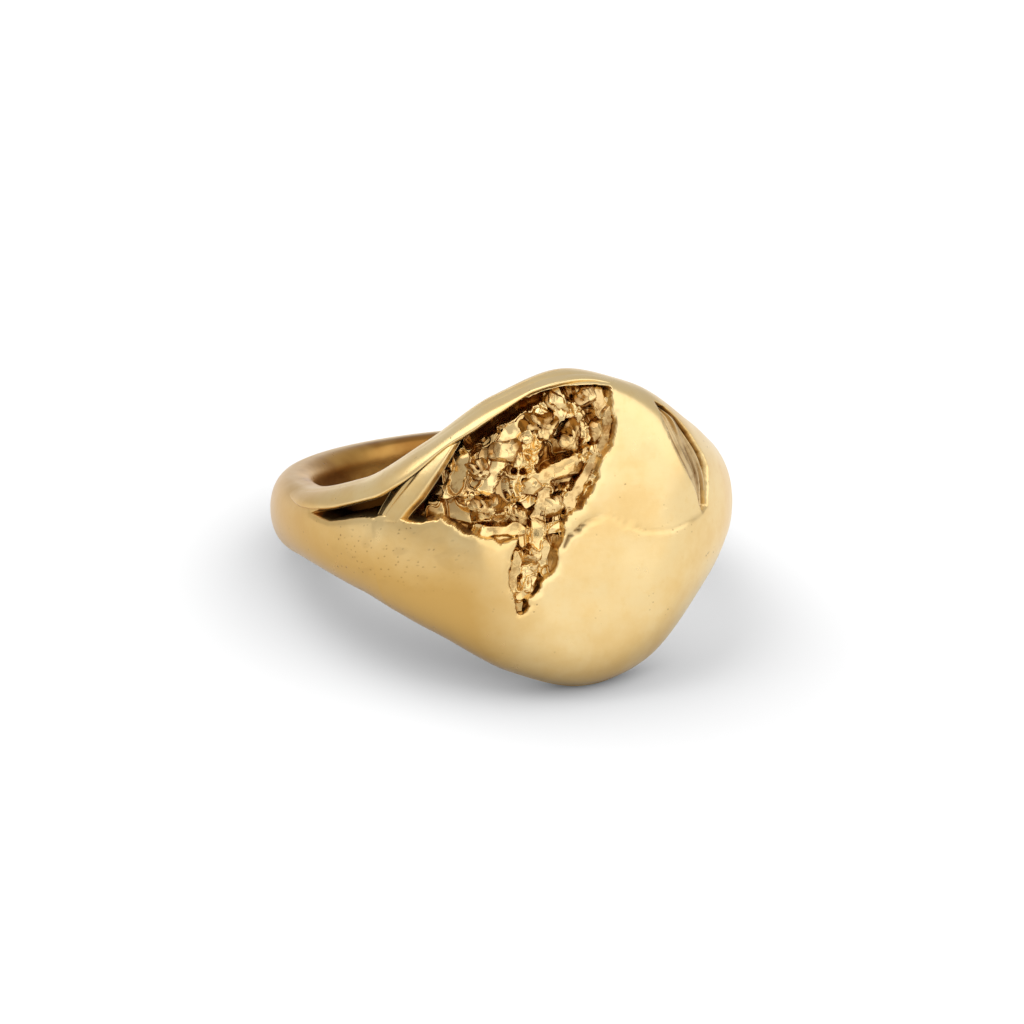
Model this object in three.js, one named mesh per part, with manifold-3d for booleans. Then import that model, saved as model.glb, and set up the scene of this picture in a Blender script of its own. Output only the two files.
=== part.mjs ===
// Signet ring with a broken, ore-filled crevice across its table.
// Millimetres, +Z up. The ring lies on its side as it does on a bench: the table faces -Y and
// a little up, the lower edge of the head and the back of the shank rest on z = 0, and the
// origin is on that plane under the middle of the bounding box.
import * as THREE from 'three';
import { mergeVertices } from 'three/addons/utils/BufferGeometryUtils.js';
import Module from 'manifold-3d';

const wasm = await Module();
wasm.setup();

// ---- Driving dimensions ----------------------------------------------------------------
const BORE_RADIUS = 9; // 18 mm finger size
const TABLE_DEPTH = 12.6; // bore axis to the flat of the table
const TABLE_ROUNDING = 0.5; // how softly the table runs into the shoulders
// The section at angles round the hoop from the middle of the table (degrees, millimetres).
const STATION_ANGLE = [0, 20, 40, 60, 90, 125, 180];
const HALF_WIDTH = [8.2, 7.15, 4.9, 2.9, 1.85, 1.82, 1.8];
const THICKNESS = [4.8, 4.7, 4.5, 3.65, 2.75, 2.35, 1.9];
const CREST_SHARE = 0.55; // how far out the section is widest, as a share of its thickness
const CREST_MOST = 1.3;
const OUTER_EXPONENT = 2.1; // roundness of the outer half of the section
const INNER_EXPONENT = 3.4; // the comfort-fit inner half is squarer
// How much fuller the head's lower side is: the share, the middle angle and the spread.
const FULLNESS = [[0.08, 21, 15], [0.055, -56, 14]];
const SQUARENESS = 0.8; // how much squarer and thicker the upper right quarter of the head is
const SQUARE_AT = 11;
const SQUARE_SPREAD = 20;
const THICKER = 0.08;
const THICKER_AT = 19;
const THICKER_SPREAD = 14;
const THICKER_RISE = 3; // millimetres above the middle over which the extra comes in
const JOINT_ANGLE = 78; // where the shank ends and the head begins
const GAP = 0.3; // solder gap between neighbouring pieces
const BED_CLEARANCE = 0.2; // side clearance of a piece that is let into a pocket
const POCKET_FLOOR = 10.3; // radius of the floor under the crevices
const BED_SINK = 1.5; // how far the ore beds lie under the polished skin
const CREVICE_SINK = 0.9;
const WEB_SINK = 0.35;
const OUTLINE_RADIUS = 12; // radius on which the outlines below are drawn
const WEDGE_INNER = 6; // a pocket's wedge reaches from inside the bore to well outside the skin
const WEDGE_OUTER = 18;
const CORE_LENGTH = 30;
const CORE_SIDES = 120;
const AROUND = 28; // sides of the hoop's section
const SHANK_STEPS = 34;
const HEAD_STEPS = 36;
const STRAND_END = 30; // degrees past the table's middle, beyond the strand's own end
const INLAY_RANGE = [-84, 60]; // degrees the sunk skin over the beds covers
const INLAY_STEPS = 48;
const POCKET_CLEARANCE = 0.02; // so that neighbouring pockets run into each other cleanly
const LIE_ANGLE = 17.9; // degrees: brings the head's edge and the shank's back to one plane

// Outlines on the hoop: [degrees from the table's middle, height along the bore axis].
const STRAND_LOWER_EDGE = [
  [-74, 1.1], [-65, 1.4], [-57, 1.85], [-49, 2.35], [-41, 3.4], [-32, 5],
  [-26, 5.5], [-18, 6.55], [-8, 7.6], [0, 7.8], [9.5, 7.5],
];
const STRAND_OUTER_EDGE = [[12, 9.4], [-12, 9.4], [-40, 6.6], [-60, 4.6], [-74, 3.6]];
const SLIT = [[-71, 1.1], [-64, 0.95], [-53, 1.4], [-48, 1.5], [-46.5, 2.6], [-49, 2.35], [-57, 1.85], [-65, 1.4]];
const WEB = [[-48, 1.5], [-43, 1.3], [-38, 2.3], [-34.5, 3.5], [-30.5, 4.7], [-33.5, 4.7], [-41, 3.4], [-46.5, 2.6]];
const ORE_FIELD = [
  [-43, 1.3], [-30.5, 1.05], [-21, 0.1], [-16.5, 0.3], [-5.5, 0.15], [-4, 1.1], [0, 1.4],
  [2.3, 2.25], [4.3, 3.2], [7, 4.1], [9.3, 5.5], [8.8, 6.3], [9.5, 7.5], [0, 7.8], [-8, 7.6],
  [-18, 6.55], [-26, 5.5], [-29, 5.25], [-34.5, 3.5], [-38, 2.3],
];
const VEIN = [
  [-16.5, 0.1], [-19.2, -1.3], [-19.5, -2.2], [-17.2, -3.65], [-14.5, -3.4], [-12, -2.2],
  [-8.2, -1.7], [-7.5, -0.9], [-5.5, 0.1],
];
const CREVICE = [
  [23.3, 6.3], [23.8, 5.6], [24, 4], [26.5, 2.8], [29.5, 1.5], [31, 0.2], [33, 0.35],
  [35.8, 2.2], [33.8, 3.1], [32.8, 4.1], [29.5, 5], [26, 5.8],
];
// Nuggets of melted ore on the beds: [degrees, height, half length, half width, turn in degrees].
const NUGGETS = [
  [3.5, 6.95, 0.55, 0.45, 20], [-4.2, 6.85, 0.55, 0.45, -30], [-9, 5.8, 0.85, 0.7, -25],
  [-1.7, 5, 0.65, 0.5, 60], [5.2, 5.1, 0.5, 0.45, 70], [-17.7, 4.6, 0.7, 0.6, 15],
  [-24.5, 3.8, 0.55, 0.5, 35], [-3, 3.4, 0.85, 0.5, 20], [-12.5, 2.8, 0.6, 0.5, -15],
  [-23.5, 1.9, 0.85, 0.5, 10], [-16.3, 1.3, 0.5, 0.45, 0], [-7, 1.6, 0.6, 0.45, 40],
  [-12.6, -0.9, 0.6, 0.5, 50], [-15.3, -2.2, 0.6, 0.45, 65],
];
const NUGGET_HALF_HEIGHT = 0.5;

// ---- Materials -------------------------------------------------------------------------
const polishedGold = () => new THREE.MeshStandardMaterial({ color: 0xe8bd6c, roughness: 0.18, metalness: 1 });
const oreGold = () => new THREE.MeshStandardMaterial({ color: 0xd8a857, roughness: 0.35, metalness: 1 });
const bedGold = () => new THREE.MeshStandardMaterial({ color: 0x9a7a48, roughness: 0.55, metalness: 1 });

// ---- Solids ----------------------------------------------------------------------------
function toSolid(geometry) {
  const bare = new THREE.BufferGeometry();
  bare.setAttribute('position', geometry.getAttribute('position'));
  if (geometry.index) bare.setIndex(geometry.index);
  const merged = mergeVertices(bare, 1e-4);
  return new wasm.Manifold(new wasm.Mesh({
    numProp: 3,
    vertProperties: new Float32Array(merged.getAttribute('position').array),
    triVerts: new Uint32Array(merged.index.array),
  }));
}

function toGeometry(solid) {
  const mesh = solid.getMesh();
  const geometry = new THREE.BufferGeometry();
  geometry.setAttribute('position', new THREE.BufferAttribute(mesh.vertProperties, 3));
  geometry.setIndex(new THREE.BufferAttribute(mesh.triVerts, 1));
  geometry.computeVertexNormals();
  return geometry;
}

// A station table read at any angle: cubic Hermite pieces whose slopes never overshoot.
function atStation(values, degrees) {
  const angle = Math.min(Math.abs(degrees), 180);
  const rise = (i) => (values[i + 1] - values[i]) / (STATION_ANGLE[i + 1] - STATION_ANGLE[i]);
  const slope = (i) => {
    if (i === 0 || i === values.length - 1 || rise(i - 1) * rise(i) <= 0) return 0;
    return (2 * rise(i - 1) * rise(i)) / (rise(i - 1) + rise(i));
  };
  let i = STATION_ANGLE.findIndex((station) => angle <= station) - 1;
  i = Math.max(i, 0);
  const span = STATION_ANGLE[i + 1] - STATION_ANGLE[i];
  const t = (angle - STATION_ANGLE[i]) / span;
  return values[i] * (2 * t ** 3 - 3 * t ** 2 + 1) + values[i + 1] * (3 * t ** 2 - 2 * t ** 3)
    + span * (slope(i) * (t ** 3 - 2 * t ** 2 + t) + slope(i + 1) * (t ** 3 - t ** 2));
}

// 1 at the middle angle, falling to 0 over a few spreads.
function bell(degrees, middle, spread) {
  const signed = THREE.MathUtils.euclideanModulo(degrees + 180, 360) - 180;
  return Math.exp(-(((signed - middle) / spread) ** 2));
}

// Half the hoop's width, a little more where the lower side is full.
function halfWidth(degrees, below) {
  const signed = THREE.MathUtils.euclideanModulo(degrees + 180, 360) - 180;
  let more = 0;
  if (below) FULLNESS.forEach(([share, middle, spread]) => { more += share * bell(degrees, middle, spread); });
  return atStation(HALF_WIDTH, signed) * (1 + more);
}

// The section's roundness, squarer on the upper right where the table runs to the edge.
function outerExponent(degrees, below) {
  return OUTER_EXPONENT + (below ? 0 : SQUARENESS * bell(degrees, SQUARE_AT, SQUARE_SPREAD));
}

// One point of the hoop's skin: a super-ellipse section about its crest, cut by the table.
function skinPoint(degrees, turn, sink) {
  const angle = THREE.MathUtils.degToRad(degrees);
  const signed = THREE.MathUtils.euclideanModulo(degrees + 180, 360) - 180;
  const thickness = atStation(THICKNESS, signed);
  const crest = Math.min(CREST_SHARE * thickness, CREST_MOST);
  const outside = Math.cos(turn) > 0;
  const below = Math.sin(turn) < 0;
  const power = 2 / (outside ? outerExponent(degrees, below) : INNER_EXPONENT);
  const across = Math.sign(Math.cos(turn)) * Math.abs(Math.cos(turn)) ** power;
  const along = Math.sign(Math.sin(turn)) * Math.abs(Math.sin(turn)) ** power;
  const height = halfWidth(degrees, below) * along;
  const rise = THREE.MathUtils.smoothstep(height, 0, THICKER_RISE);
  const more = 1 + THICKER * bell(degrees, THICKER_AT, THICKER_SPREAD) * rise;
  let radius = BORE_RADIUS + crest + (outside ? (thickness - crest) * more : crest) * across;
  const facing = Math.cos(angle);
  if (outside && facing > 0.05) {
    const flat = TABLE_DEPTH / facing;
    const mix = THREE.MathUtils.clamp(0.5 + (flat - radius) / (2 * TABLE_ROUNDING), 0, 1);
    radius = flat + (radius - flat) * mix - TABLE_ROUNDING * mix * (1 - mix);
  }
  if (outside) radius -= sink;
  return [radius * Math.sin(angle), -radius * Math.cos(angle), height];
}

// The skin's radius at a height on the hoop, on the outer half of the section.
function skinRadius(degrees, height) {
  const share = Math.min(Math.abs(height) / halfWidth(degrees, height < 0), 1);
  const turn = Math.asin(share ** (outerExponent(degrees, height < 0) / 2));
  const [x, y] = skinPoint(degrees, height < 0 ? -turn : turn, 0);
  return Math.hypot(x, y);
}

// A closed length of the hoop between two angles, with flat ends.
function hoopLength(from, to, steps, sink = 0) {
  const positions = [];
  const index = [];
  for (let i = 0; i <= steps; i += 1) {
    for (let j = 0; j < AROUND; j += 1) {
      positions.push(...skinPoint(from + ((to - from) * i) / steps, (2 * Math.PI * (j + 0.5)) / AROUND, sink));
    }
  }
  const at = (i, j) => i * AROUND + (j % AROUND);
  for (let i = 0; i < steps; i += 1) {
    for (let j = 0; j < AROUND; j += 1) {
      index.push(at(i, j), at(i + 1, j), at(i + 1, j + 1), at(i, j), at(i + 1, j + 1), at(i, j + 1));
    }
  }
  for (let j = 1; j < AROUND - 1; j += 1) {
    index.push(at(0, 0), at(0, j), at(0, j + 1));
    index.push(at(steps, 0), at(steps, j + 1), at(steps, j));
  }
  const geometry = new THREE.BufferGeometry();
  geometry.setAttribute('position', new THREE.Float32BufferAttribute(positions, 3));
  geometry.setIndex(index);
  return toSolid(geometry);
}

// An outline grown (or with a negative distance shrunk) by moving each side square to itself.
function offset(outline, distance) {
  const flat = outline.map(([degrees, height]) => (
    new THREE.Vector2(THREE.MathUtils.degToRad(degrees) * OUTLINE_RADIUS, height)));
  const side = THREE.ShapeUtils.isClockWise(flat) ? -1 : 1;
  return flat.map((corner, i) => {
    const before = corner.clone().sub(flat[(i + flat.length - 1) % flat.length]).normalize();
    const after = flat[(i + 1) % flat.length].clone().sub(corner).normalize();
    const first = new THREE.Vector2(before.y, -before.x);
    const second = new THREE.Vector2(after.y, -after.x);
    const miter = first.clone().add(second).normalize();
    const reach = (side * distance) / Math.max(miter.dot(first), 0.5);
    return corner.clone().addScaledVector(miter, reach);
  });
}

// The wedge of space outside a radius that an outline on the hoop covers.
function wedge(outline, distance, floorRadius) {
  const shape = new THREE.Shape(offset(outline, distance));
  const geometry = new THREE.ExtrudeGeometry(shape, { depth: WEDGE_OUTER - WEDGE_INNER, steps: 1, bevelEnabled: false });
  const position = geometry.getAttribute('position');
  for (let i = 0; i < position.count; i += 1) {
    const angle = position.getX(i) / OUTLINE_RADIUS;
    const radius = WEDGE_INNER + position.getZ(i);
    position.setXYZ(i, radius * Math.sin(angle), -radius * Math.cos(angle), position.getY(i));
  }
  const core = new THREE.CylinderGeometry(floorRadius, floorRadius, CORE_LENGTH, CORE_SIDES);
  core.rotateX(Math.PI / 2);
  return toSolid(geometry).subtract(toSolid(core));
}

// ---- Pieces ----------------------------------------------------------------------------
const ring = new THREE.Group();

function place(name, geometry, material) {
  const mesh = new THREE.Mesh(geometry, material);
  mesh.name = name;
  ring.add(mesh);
  return mesh;
}

// A piece that lies in a pocket: the outline shrunk by the clearance, topped by the sunk skin.
function inlay(name, outline, sink, material) {
  const body = wedge(outline, -BED_CLEARANCE, POCKET_FLOOR + GAP).intersect(hoopLength(...INLAY_RANGE, INLAY_STEPS, sink));
  return place(name, toGeometry(body), material);
}

const gapAngle = THREE.MathUtils.radToDeg(GAP / 2 / BORE_RADIUS);
const strandOutline = [...STRAND_LOWER_EDGE, ...STRAND_OUTER_EDGE];

function makeShank() {
  const shank = hoopLength(JOINT_ANGLE + gapAngle, 360 - JOINT_ANGLE - gapAngle, SHANK_STEPS);
  place('shank', toGeometry(shank), polishedGold());
}

function makeHead() {
  let head = hoopLength(-JOINT_ANGLE + gapAngle, JOINT_ANGLE - gapAngle, HEAD_STEPS);
  for (const outline of [SLIT, WEB, ORE_FIELD, VEIN, CREVICE]) {
    head = head.subtract(wedge(outline, POCKET_CLEARANCE, POCKET_FLOOR));
  }
  head = head.subtract(wedge(strandOutline, GAP, POCKET_FLOOR));
  place('signet_head', toGeometry(head), polishedGold());
}

function makeStrand() {
  const skin = hoopLength(-JOINT_ANGLE, STRAND_END, HEAD_STEPS);
  const strand = wedge(strandOutline, 0, POCKET_FLOOR + GAP).intersect(skin);
  place('upper_rim', toGeometry(strand), polishedGold());
}

function makeNugget(number, [degrees, height, halfLength, halfWidth, turn]) {
  const angle = THREE.MathUtils.degToRad(degrees);
  const outward = skinRadius(degrees, height) - BED_SINK + GAP + NUGGET_HALF_HEIGHT;
  const geometry = new THREE.IcosahedronGeometry(1, 1);
  geometry.scale(halfLength, halfWidth, NUGGET_HALF_HEIGHT);
  const mesh = place(`nugget_${number}`, toGeometry(toSolid(geometry)), oreGold());
  mesh.rotation.set(Math.PI / 2, 0, THREE.MathUtils.degToRad(turn), 'XYZ');
  mesh.position.set(outward * Math.sin(angle), -outward * Math.cos(angle), height);
}

makeShank();
makeHead();
makeStrand();
inlay('web', WEB, WEB_SINK, polishedGold());
inlay('ore_bed', ORE_FIELD, BED_SINK, bedGold());
inlay('vein_bed', VEIN, BED_SINK, bedGold());
inlay('crevice_bed', CREVICE, CREVICE_SINK, bedGold());
NUGGETS.forEach((nugget, i) => makeNugget(i + 1, nugget));

// Lay the ring down and set the origin under its middle.
ring.rotation.x = -THREE.MathUtils.degToRad(LIE_ANGLE);
const group = new THREE.Group();
group.add(ring);
group.updateMatrixWorld(true);
const box = new THREE.Box3().setFromObject(group, true);
ring.position.set(-(box.min.x + box.max.x) / 2, -(box.min.y + box.max.y) / 2, -box.min.z);

export default group;
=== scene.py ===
"""Signet ring in cast gold, lying on its side on a pale floor. Metres; the row's +Z is up."""
import math

import bpy
import numpy as np
from mathutils import Matrix, Vector


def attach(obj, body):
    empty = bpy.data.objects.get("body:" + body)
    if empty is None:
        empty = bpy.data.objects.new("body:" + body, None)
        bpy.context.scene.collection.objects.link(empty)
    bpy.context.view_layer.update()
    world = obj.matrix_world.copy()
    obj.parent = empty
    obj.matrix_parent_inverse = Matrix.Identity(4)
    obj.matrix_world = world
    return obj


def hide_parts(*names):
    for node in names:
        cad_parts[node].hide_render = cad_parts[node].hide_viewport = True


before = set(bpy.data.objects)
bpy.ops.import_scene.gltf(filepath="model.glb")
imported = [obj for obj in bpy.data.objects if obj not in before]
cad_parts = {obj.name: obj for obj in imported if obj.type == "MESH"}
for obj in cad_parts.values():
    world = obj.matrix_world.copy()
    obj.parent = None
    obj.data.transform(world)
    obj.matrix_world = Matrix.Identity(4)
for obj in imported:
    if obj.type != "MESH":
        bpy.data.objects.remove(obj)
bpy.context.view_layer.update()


# ---- Shank -----------------------------------------------------------------------------
# The plain back of the hoop that goes round the finger: cast in gold with the head, filed to
# a comfort-fit section that is rounder outside than inside, and polished.

MM = 0.001
LIE_ANGLE = math.radians(17.9)  # how far the bore axis leans back when the ring lies down
BORE_MIDDLE = (0.0, 1.6197, 4.8367)  # mm in the row frame
BORE_RADIUS = 9.0
TABLE_DEPTH = 12.6
TABLE_ROUNDING = 0.5
STATION_ANGLE = (0, 20, 40, 60, 90, 125, 180)
HALF_WIDTH = (8.2, 7.15, 4.9, 2.9, 1.85, 1.82, 1.8)
THICKNESS = (4.8, 4.7, 4.5, 3.65, 2.75, 2.35, 1.9)
CREST_SHARE = 0.55
CREST_MOST = 1.3
OUTER_EXPONENT = 2.1
INNER_EXPONENT = 3.4
# How much fuller the head's lower side is: the share, the middle angle and the spread.
FULLNESS = ((0.08, 21.0, 15.0), (0.055, -56.0, 14.0))
SQUARENESS = 0.8  # how much squarer and thicker the upper right quarter of the head is
SQUARE_AT, SQUARE_SPREAD = 11.0, 20.0  # middle angle and spread of that quarter, in degrees
THICKER = 0.08  # share of the outer thickness that is added there
JOINT_ANGLE = 78.0
OUTLINE_RADIUS = 12.0


def to_row(points):
    """Ring-frame millimetres (bore axis Z, table towards -Y) turned by LIE_ANGLE about X,
    moved to the bore's middle and scaled to metres."""
    x, y, z = points[..., 0], points[..., 1], points[..., 2]
    c, s = math.cos(LIE_ANGLE), math.sin(LIE_ANGLE)
    return (np.stack([x, y * c + z * s, z * c - y * s], -1) + BORE_MIDDLE) * MM


def at_station(values, degrees):
    """A station table read at any angle: cubic Hermite pieces with harmonic-mean slopes."""
    angle = np.clip(np.abs((np.asarray(degrees, float) + 180) % 360 - 180), 0, 180)
    v, a = np.array(values, float), np.array(STATION_ANGLE, float)
    rise = np.diff(v) / np.diff(a)
    both = rise[:-1] * rise[1:]
    slope = np.zeros(len(v))
    slope[1:-1] = np.where(both > 0, 2 * both / np.where(both > 0, rise[:-1] + rise[1:], 1), 0)
    i = np.clip(np.searchsorted(a, angle, side="left") - 1, 0, len(a) - 2)
    span = a[i + 1] - a[i]
    t = (angle - a[i]) / span
    return (v[i] * (2 * t**3 - 3 * t**2 + 1) + v[i + 1] * (3 * t**2 - 2 * t**3)
            + span * (slope[i] * (t**3 - 2 * t**2 + t) + slope[i + 1] * (t**3 - t**2)))


def bell(degrees, middle, spread):
    """1 at the middle angle, falling to 0 over a few spreads."""
    return np.exp(-((((np.asarray(degrees, float) + 180) % 360 - 180 - middle) / spread) ** 2))


def half_width(degrees, below):
    """Half the hoop's width: the station's value, a little more where the lower side is full."""
    more = sum(share * bell(degrees, middle, spread) for share, middle, spread in FULLNESS)
    return at_station(HALF_WIDTH, degrees) * (1 + np.where(below, more, 0))


def outer_exponent(degrees, below):
    """The section's roundness, squarer on the upper right where the table runs to the edge."""
    return OUTER_EXPONENT + np.where(below, 0, SQUARENESS * bell(degrees, SQUARE_AT, SQUARE_SPREAD))


def section_radius(degrees, across, outside, height):
    """Radius of the skin where the section's across value is given: crest plus the outer or
    inner share of the thickness, the outside being cut by the table with a soft corner."""
    thickness = at_station(THICKNESS, degrees)
    crest = np.minimum(CREST_SHARE * thickness, CREST_MOST)
    more = 1 + THICKER * bell(degrees, SQUARE_AT + 8, SQUARE_SPREAD - 6) * smooth(height, 0.0, 3.0)
    radius = BORE_RADIUS + crest + np.where(outside, (thickness - crest) * more, crest) * across
    facing = np.cos(np.radians(degrees))
    flat = TABLE_DEPTH / np.maximum(facing, 0.05)
    mix = np.clip(0.5 + (flat - radius) / (2 * TABLE_ROUNDING), 0, 1)
    cut = flat + (radius - flat) * mix - TABLE_ROUNDING * mix * (1 - mix)
    return np.where(outside & (facing > 0.05), cut, radius)


def outer_radius(degrees, height):
    """The outside skin's radius at a height: the super-ellipse solved for across."""
    below = np.asarray(height) < 0
    share = np.clip(np.abs(height) / half_width(degrees, below), 0, 1)
    power = outer_exponent(degrees, below)
    across = (1 - share**power) ** (1 / power)
    return section_radius(degrees, across, np.full(np.shape(across), True), height)


def round_points(degrees, radius, height):
    """Cylinder coordinates to the ring frame, angle 0 towards the table."""
    angle = np.radians(degrees)
    return np.stack([radius * np.sin(angle), -radius * np.cos(angle), height], -1)


def lattice(i, j, seed):
    """A repeatable number from 0 to 1 for each whole-number pair."""
    h = (i * 374761393 + j * 668265263 + seed * 144269504) & 0xFFFFFFFF
    h = ((h ^ (h >> 13)) * 1274126177) & 0xFFFFFFFF
    return ((h ^ (h >> 16)) & 0xFFFF) / 65535.0


def swell(x, y, size, seed):
    """Smooth noise from -1 to 1: lattice values of that size joined by smooth steps."""
    u, v = x / size, y / size
    i, j = np.floor(u).astype(np.int64), np.floor(v).astype(np.int64)
    a, b = u - i, v - j
    a, b = a * a * (3 - 2 * a), b * b * (3 - 2 * b)
    low = lattice(i, j, seed) * (1 - a) + lattice(i + 1, j, seed) * a
    high = lattice(i, j + 1, seed) * (1 - a) + lattice(i + 1, j + 1, seed) * a
    return (low * (1 - b) + high * b) * 2 - 1


def smooth(value, low, high):
    """0 below low, 1 above high, a smooth step between."""
    t = np.clip((value - low) / (high - low), 0, 1)
    return t * t * (3 - 2 * t)


def cells(x, y, size, seed):
    """Jittered-point cells of that size: distance to the nearest point and to the next one,
    that point's own number, and the offset from it."""
    u, v = x / size, y / size
    i, j = np.floor(u).astype(np.int64), np.floor(v).astype(np.int64)
    near, after = np.full(u.shape, 9.0), np.full(u.shape, 9.0)
    own, off_x, off_y = np.zeros(u.shape), np.zeros(u.shape), np.zeros(u.shape)
    for di in (-1, 0, 1):
        for dj in (-1, 0, 1):
            px = u - (i + di + 0.15 + 0.7 * lattice(i + di, j + dj, seed))
            py = v - (j + dj + 0.15 + 0.7 * lattice(i + di, j + dj, seed + 1))
            far = np.hypot(px, py)
            closer = far < near
            after = np.where(closer, near, np.minimum(after, far))
            off_x, off_y = np.where(closer, px, off_x), np.where(closer, py, off_y)
            own = np.where(closer, lattice(i + di, j + dj, seed + 2), own)
            near = np.where(closer, far, near)
    return near * size, after * size, own, off_x * size, off_y * size


def grid_faces(rows, columns, wrap):
    """Quads of a grid of rows by columns, the columns closing on themselves if wrap is set."""
    i = np.arange(rows - 1)[:, None]
    j = np.arange(columns if wrap else columns - 1)[None, :]
    k = (j + 1) % columns
    a, b, c, d = i * columns + j, (i + 1) * columns + j, (i + 1) * columns + k, i * columns + k
    return np.stack([a, b, c, d], -1).reshape(-1, 4)


def make_piece(name, points, faces, normals=None, shade=None, inner=None):
    """A smooth mesh object from row-frame points and faces, put straight into its arrays.
    shade and inner are 0 to 1 values at each point, kept as the attributes depth and bore: the painted shade,
    with some real pits and smears, and how far the point lies on the inner skin of the bore, which the
    material paints with shade."""
    mesh = bpy.data.meshes.new(name)
    mesh.from_pydata(points.reshape(-1, 3).tolist(), [], faces)
    mesh.polygons.foreach_set("use_smooth", np.ones(len(mesh.polygons), bool))
    depth = mesh.attributes.new("depth", "FLOAT", "POINT")
    bore = mesh.attributes.new("bore", "FLOAT", "POINT")
    if shade is not None:
        depth.data.foreach_set("value", np.asarray(shade, np.float32).ravel())
    if inner is not None:
        bore.data.foreach_set("value", np.asarray(inner, np.float32).ravel())
    mesh.update()
    if normals is not None:
        mesh.normals_split_custom_set_from_vertices(normals.reshape(-1, 3).tolist())
    piece = bpy.data.objects.new(name, mesh)
    bpy.context.scene.collection.objects.link(piece)
    return piece


def hoop_mesh(name, degrees, turns, recess=None, shade=None):
    """A closed length of hoop: the skin at each angle and turn of the section, moved in by
    recess millimetres, closed by a fan at both ends. Normals come from the grid's tangents,
    with one row beyond each end, so that neighbouring lengths meet without a line."""
    first, last = 2 * degrees[0] - degrees[1], 2 * degrees[-1] - degrees[-2]
    angle = np.concatenate([[first], degrees, [last]])[:, None]
    turn = turns[None, :]
    outside = np.cos(turn) > 0
    below = np.sin(turn) < 0
    power = np.where(outside, 2 / outer_exponent(angle, below), 2 / INNER_EXPONENT)
    across = np.sign(np.cos(turn)) * np.abs(np.cos(turn)) ** power
    along = np.sign(np.sin(turn)) * np.abs(np.sin(turn)) ** power
    height = half_width(angle, below) * along
    radius = section_radius(angle, across, outside, height)
    moved = np.zeros_like(radius) if recess is None else recess(angle + 0 * turn, height, outside)
    crest = np.minimum(CREST_SHARE * at_station(THICKNESS, angle), CREST_MOST)
    moved = np.minimum(moved, np.maximum(radius - BORE_RADIUS - crest - 0.1, 0.02))
    points = to_row(round_points(angle, radius - moved, height))
    around = np.roll(points, -1, 1) - np.roll(points, 1, 1)
    length = np.gradient(points, axis=0)
    normals = np.cross(length, around)
    normals /= np.maximum(np.linalg.norm(normals, axis=-1, keepdims=True), 1e-15)
    points, normals, moved = points[1:-1], normals[1:-1], moved[1:-1]
    angle, height = angle[1:-1], height[1:-1]
    rows, columns = points.shape[:2]
    faces = grid_faces(rows, columns, True).tolist()
    ends = [points[0].mean(0), points[-1].mean(0)]
    start, final = rows * columns, rows * columns + 1
    base = (rows - 1) * columns
    ring = range(columns)
    faces += [[start, j, (j + 1) % columns] for j in ring]
    faces += [[final, base + (j + 1) % columns, base + j] for j in ring]
    allpoints = np.concatenate([points.reshape(-1, 3), ends])
    allnormals = np.concatenate([normals.reshape(-1, 3), [-length[0].mean(0), length[-1].mean(0)]])
    tone = np.zeros_like(moved) if shade is None else shade(moved, angle + 0 * turn, height)
    tone = np.concatenate([tone.ravel(), [0, 0]])
    # inner is the share of the inner skin, which the material paints with shade inside the bore.
    inner = smooth(-across[1:-1], 0.0, 0.5)
    inner = np.concatenate([inner.ravel(), [0, 0]])
    return make_piece(name, allpoints, faces, allnormals, tone, inner)


class Wire:
    """A shader socket that adds Math nodes when it is used in an expression."""

    def __init__(self, tree, socket=None):
        self.tree, self.socket = tree, socket

    def node(self, kind, settings=None, sockets=None, out=0):
        """Adds a node: its settings first, then the values or links of its sockets."""
        made = self.tree.nodes.new(kind)
        for key, value in (settings or {}).items():
            setattr(made, key, value)
        for key, value in (sockets or {}).items():
            if isinstance(value, Wire):
                self.tree.links.new(value.socket, made.inputs[key])
            else:
                made.inputs[key].default_value = value
        return Wire(self.tree, made.outputs[out] if len(made.outputs) else None)

    def math(self, operation, first, second=0.0):
        return self.node("ShaderNodeMath", {"operation": operation}, {0: first, 1: second})

    def __add__(self, other):
        return self.math("ADD", self, other)

    def __sub__(self, other):
        return self.math("SUBTRACT", self, other)

    def __rsub__(self, other):
        return self.math("SUBTRACT", other, self)

    def __mul__(self, other):
        return self.math("MULTIPLY", self, other)

    __radd__ = __add__
    __rmul__ = __mul__

    def clamp(self):
        return self.node("ShaderNodeClamp", None, {"Value": self})

    def band(self, low, high):
        """0 below low, 1 above high, smooth between."""
        return self.node("ShaderNodeMapRange", {"interpolation_type": "SMOOTHSTEP"},
                         {"Value": self, "From Min": low, "From Max": high})


def mix_colour(wire, factor, first, second):
    """Blends two colours, each a socket or an (r, g, b, a) value."""
    return wire.node("ShaderNodeMix", {"data_type": "RGBA"}, {0: factor, 6: first, 7: second}, 2)


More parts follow.
